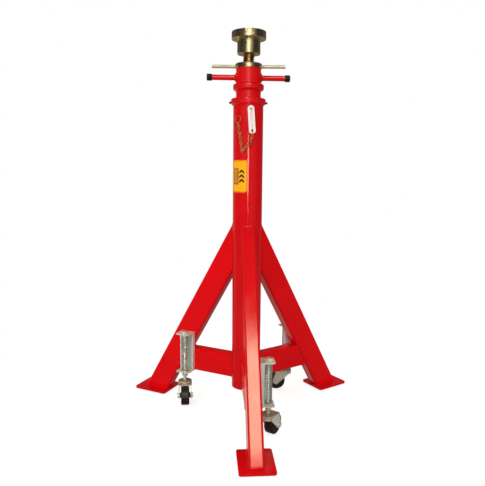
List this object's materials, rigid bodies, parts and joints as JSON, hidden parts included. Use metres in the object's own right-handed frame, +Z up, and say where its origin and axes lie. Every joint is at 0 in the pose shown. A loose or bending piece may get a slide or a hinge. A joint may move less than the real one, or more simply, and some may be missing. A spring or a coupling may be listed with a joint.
{
  "type": "axle stand",
  "caption": "Tall tripod axle stand with a telescopic pin-locked column, a screw-adjusted round saddle and spring-loaded swivel castors.",
  "frame": {"origin": "under the axis of the column, in the plane of the undersides of the three feet, which is the floor once the stand is loaded", "axes": "+Z up along the column; the front leg points along -Y, the other two legs at 120 degrees to it"},
  "size_m": [0.8884, 0.7719, 1.3935],
  "materials": {
    "red_paint": "gloss red enamel over welded steel",
    "black_steel": "black oxide",
    "label_film": "satin yellow vinyl film",
    "black_plastic": "satin moulded vinyl",
    "yellow_zinc": "turned steel, yellow passivated zinc",
    "spindle_steel": "turned, oiled, yellow passivated",
    "bright_zinc": "bright zinc plate",
    "chain_brass": "brassed steel wire",
    "tyre_rubber": "matt moulded rubber",
    "wheel_plastic": "satin moulded nylon",
    "castor_zinc": "pressed steel, faintly yellow zinc plate",
    "bracket_zinc": "zinc plate"
  },
  "bodies": {
    "stand_frame": {"outer_tube": "red_paint", "tube_collar": "red_paint", "guide_screws": "black_steel", "leg_front": "red_paint", "leg_left": "red_paint", "leg_right": "red_paint", "brace_front": "red_paint", "brace_left": "red_paint", "brace_right": "red_paint", "foot_plate_front": "red_paint", "foot_plate_left": "red_paint", "foot_plate_right": "red_paint", "chain_lug": "red_paint", "label": "label_film", "castor_bracket_front": "bracket_zinc", "castor_bracket_left": "bracket_zinc", "castor_bracket_right": "bracket_zinc", "split_ring": "chain_brass", "chain": "chain_brass"},
    "inner_column": {"inner_tube": "red_paint", "stop_ring": "red_paint", "lift_handles": "red_paint", "handle_caps": "black_plastic"},
    "lift_nut_body": {"lift_nut": "yellow_zinc", "nut_handles": "yellow_zinc"},
    "screw_spindle": {"spindle": "spindle_steel", "saddle": "yellow_zinc", "saddle_grub_screw": "black_steel"},
    "pin": {"locking_pin": "bright_zinc", "pin_plate": "bright_zinc", "chain_hook": "chain_brass"},
    "castor_stem_front": {"castor_stem_front": "bracket_zinc", "castor_nuts_front": "bracket_zinc", "castor_spring_front": "bracket_zinc", "castor_race_front": "castor_zinc"},
    "castor_fork_front": {"castor_balls_front": "bracket_zinc", "castor_fork_front": "castor_zinc", "castor_axle_front": "bracket_zinc"},
    "castor_wheel_front": {"castor_hub_front": "wheel_plastic", "castor_tyre_front": "tyre_rubber"},
    "castor_stem_left": {"castor_stem_left": "bracket_zinc", "castor_nuts_left": "bracket_zinc", "castor_spring_left": "bracket_zinc", "castor_race_left": "castor_zinc"},
    "castor_fork_left": {"castor_balls_left": "bracket_zinc", "castor_fork_left": "castor_zinc", "castor_axle_left": "bracket_zinc"},
    "castor_wheel_left": {"castor_hub_left": "wheel_plastic", "castor_tyre_left": "tyre_rubber"},
    "castor_stem_right": {"castor_stem_right": "bracket_zinc", "castor_nuts_right": "bracket_zinc", "castor_spring_right": "bracket_zinc", "castor_race_right": "castor_zinc"},
    "castor_fork_right": {"castor_balls_right": "bracket_zinc", "castor_fork_right": "castor_zinc", "castor_axle_right": "bracket_zinc"},
    "castor_wheel_right": {"castor_hub_right": "wheel_plastic", "castor_tyre_right": "tyre_rubber"}
  },
  "joints": [
    {"name": "column_lift", "type": "slide", "parent": "stand_frame", "child": "inner_column", "axis": [0, 0, 1], "range_m": [0, 0.6]},
    {"name": "spindle_lift", "type": "slide", "parent": "inner_column", "child": "screw_spindle", "axis": [0, 0, 1], "range_m": [-0.028, 0.084]},
    {"name": "nut_turn", "type": "hinge", "parent": "inner_column", "child": "lift_nut_body", "pos_m": [0, 0, 1.272], "axis": [0, 0, 1], "range_deg": [-4320, 1440]},
    {"name": "pin_pull", "type": "slide", "parent": "stand_frame", "child": "pin", "axis": [0.0698, -0.9976, 0], "range_m": [0, 0.126]},
    {"name": "castor_spring_travel_front", "type": "slide", "parent": "stand_frame", "child": "castor_stem_front", "axis": [0, 0, 1], "range_m": [0, 0.0078], "stiffness_N_per_m": 3700, "springref_m": -0.0743, "deforming": ["castor_spring_front"]},
    {"name": "castor_swivel_front", "type": "hinge", "parent": "castor_stem_front", "child": "castor_fork_front", "pos_m": [0.0575, -0.239, 0.076], "axis": [0, 0, 1], "continuous": true},
    {"name": "castor_roll_front", "type": "hinge", "parent": "castor_fork_front", "child": "castor_wheel_front", "pos_m": [0.07866, -0.20988, 0.032], "axis": [-0.809, 0.5878, 0], "continuous": true},
    {"name": "castor_spring_travel_left", "type": "slide", "parent": "stand_frame", "child": "castor_stem_left", "axis": [0, 0, 1], "range_m": [0, 0.0078], "stiffness_N_per_m": 3700, "springref_m": -0.0743, "deforming": ["castor_spring_left"]},
    {"name": "castor_swivel_left", "type": "hinge", "parent": "castor_stem_left", "child": "castor_fork_left", "pos_m": [-0.23573, 0.0697, 0.076], "axis": [0, 0, 1], "continuous": true},
    {"name": "castor_roll_left", "type": "hinge", "parent": "castor_fork_left", "child": "castor_wheel_left", "pos_m": [-0.23447, 0.03372, 0.032], "axis": [0.9994, 0.0349, 0], "continuous": true},
    {"name": "castor_spring_travel_right", "type": "slide", "parent": "stand_frame", "child": "castor_stem_right", "axis": [0, 0, 1], "range_m": [0, 0.0078], "stiffness_N_per_m": 3700, "springref_m": -0.0743, "deforming": ["castor_spring_right"]},
    {"name": "castor_swivel_right", "type": "hinge", "parent": "castor_stem_right", "child": "castor_fork_right", "pos_m": [0.17823, 0.1693, 0.076], "axis": [0, 0, 1], "continuous": true},
    {"name": "castor_roll_right", "type": "hinge", "parent": "castor_fork_right", "child": "castor_wheel_right", "pos_m": [0.14267, 0.17493, 0.032], "axis": [-0.1564, -0.9877, 0], "continuous": true}
  ],
  "couplings": [
    {"joint": "nut_turn", "follows": "spindle_lift", "rad_per_m": -897.6}
  ]
}
